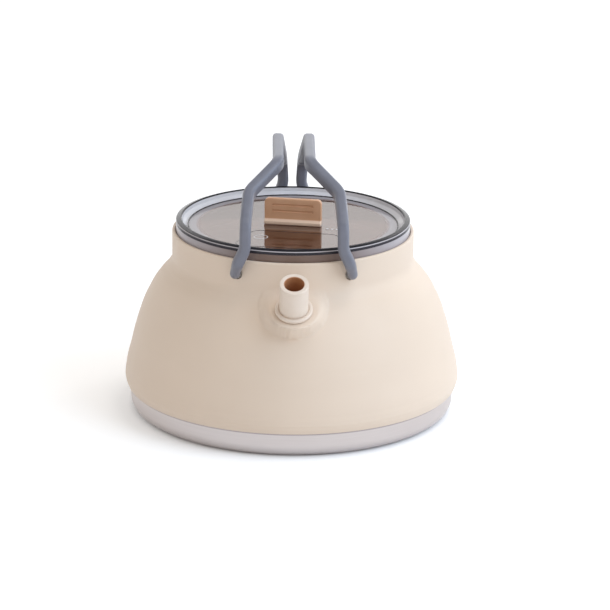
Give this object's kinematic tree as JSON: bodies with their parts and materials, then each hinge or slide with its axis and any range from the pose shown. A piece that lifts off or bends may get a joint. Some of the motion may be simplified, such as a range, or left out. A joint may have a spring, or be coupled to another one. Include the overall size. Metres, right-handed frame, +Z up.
{
  "type": "collapsible kettle",
  "caption": "Low round folding kettle with a steel pan, pale silicone body, push-in spout, clear lift-off lid with a pull tab, and swing-down wire bail handles.",
  "frame": {"origin": "centre of the pan's underside, on the surface the kettle stands on", "axes": "+Z up; -Y out over the spout; +X to the right seen from the spout's side; the left handle is on -X"},
  "size_m": [0.1812, 0.1815, 0.1462],
  "materials": {
    "steel": "satin brushed",
    "silicone": "matt moulded silicone",
    "neck_plastic": "matt",
    "spout_plastic": "satin",
    "wire": "bright drawn",
    "sleeve": "matt",
    "lid": "gloss smoke-tinted clear",
    "seal": "matt",
    "tab": "satin"
  },
  "bodies": {
    "base": {"base_pan": "steel", "silicone_foot_ring": "silicone", "silicone_fold_web": "silicone"},
    "upper_body": {"silicone_upper_shell": "silicone", "neck_ring": "neck_plastic", "spout_nozzle": "spout_plastic"},
    "left_handle": {"left_handle_wire": "wire", "left_handle_sleeve": "sleeve"},
    "right_handle": {"right_handle_wire": "wire", "right_handle_sleeve": "sleeve"},
    "seal": {"lid_seal": "seal"},
    "lid": {"lid": "lid"},
    "pull_tab": {"lid_tab": "tab", "tab_pin": "wire"}
  },
  "joints": [
    {"name": "body_collapse", "type": "slide", "parent": "base", "child": "upper_body", "axis": [0, 0, 1], "range_m": [-0.034, 0], "deforming": ["silicone_fold_web"]},
    {"name": "left_handle_swing", "type": "hinge", "parent": "upper_body", "child": "left_handle", "pos_m": [-0.0311, -0.06114, 0.0922], "axis": [-0.1607, -0.987, 0], "range_deg": [-3, 112]},
    {"name": "right_handle_swing", "type": "hinge", "parent": "upper_body", "child": "right_handle", "pos_m": [0.0311, -0.06114, 0.0922], "axis": [-0.1607, 0.987, 0], "range_deg": [-3, 112]},
    {"name": "lid_lift", "type": "slide", "parent": "upper_body", "child": "seal", "axis": [0, 0, 1], "range_m": [0, 0.012]},
    {"name": "lid_turn", "type": "hinge", "parent": "seal", "child": "lid", "pos_m": [0, 0, 0.1], "axis": [0, 0, 1], "continuous": true},
    {"name": "tab_fold", "type": "hinge", "parent": "lid", "child": "pull_tab", "pos_m": [0, 0, 0.1052], "axis": [-0.9854, 0.1702, 0], "range_deg": [0, 88]}
  ]
}
